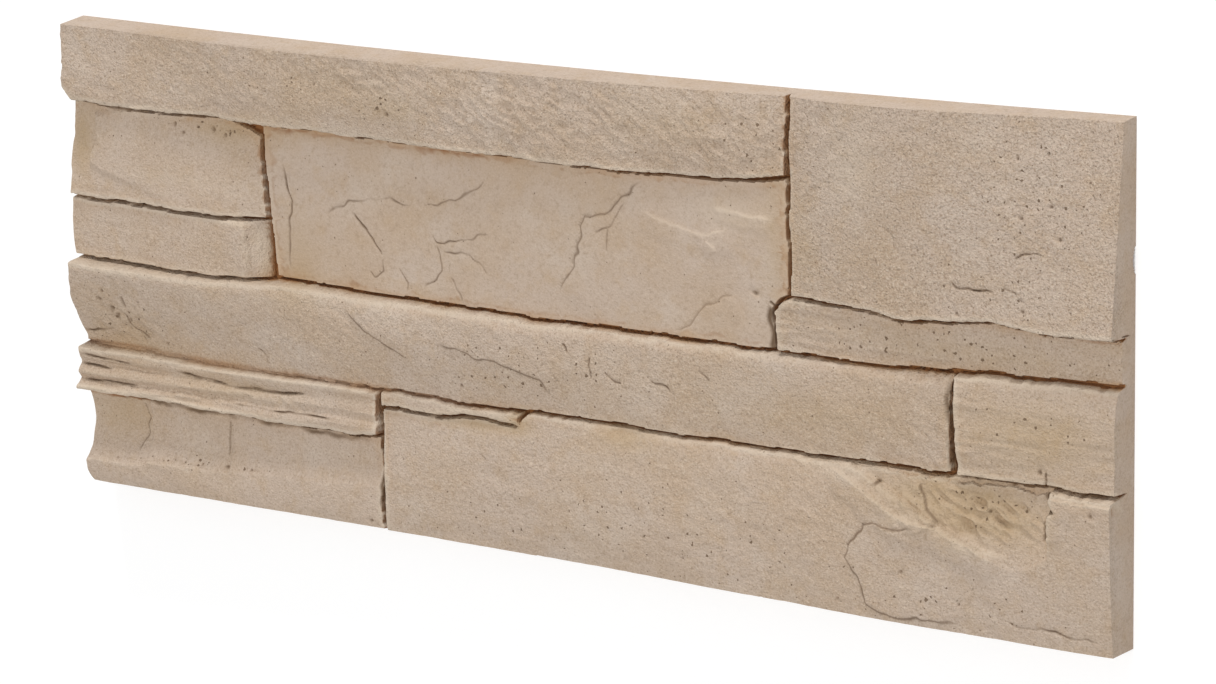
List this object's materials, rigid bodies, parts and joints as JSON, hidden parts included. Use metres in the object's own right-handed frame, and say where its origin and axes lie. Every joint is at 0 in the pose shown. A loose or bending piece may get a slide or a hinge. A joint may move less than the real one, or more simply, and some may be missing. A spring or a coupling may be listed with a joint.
{
  "type": "cast stacked-stone wall cladding panel",
  "caption": "Thin cast-stone wall panel with split, chipped and laminated stones moulded into its face, flat at the back for bedding on adhesive",
  "frame": {"origin": "centre of the flat back, where the panel lies on the ground", "axes": "+X along the panel's length, to the right on the wall; +Y up the wall; +Z out of the stone face"},
  "size_m": [0.487, 0.2, 0.0237],
  "materials": {
    "cast_stone": "matt beige cast stone, darker brown in the joints"
  },
  "bodies": {
    "root": {"stone_panel": "cast_stone"}
  },
  "joints": []
}
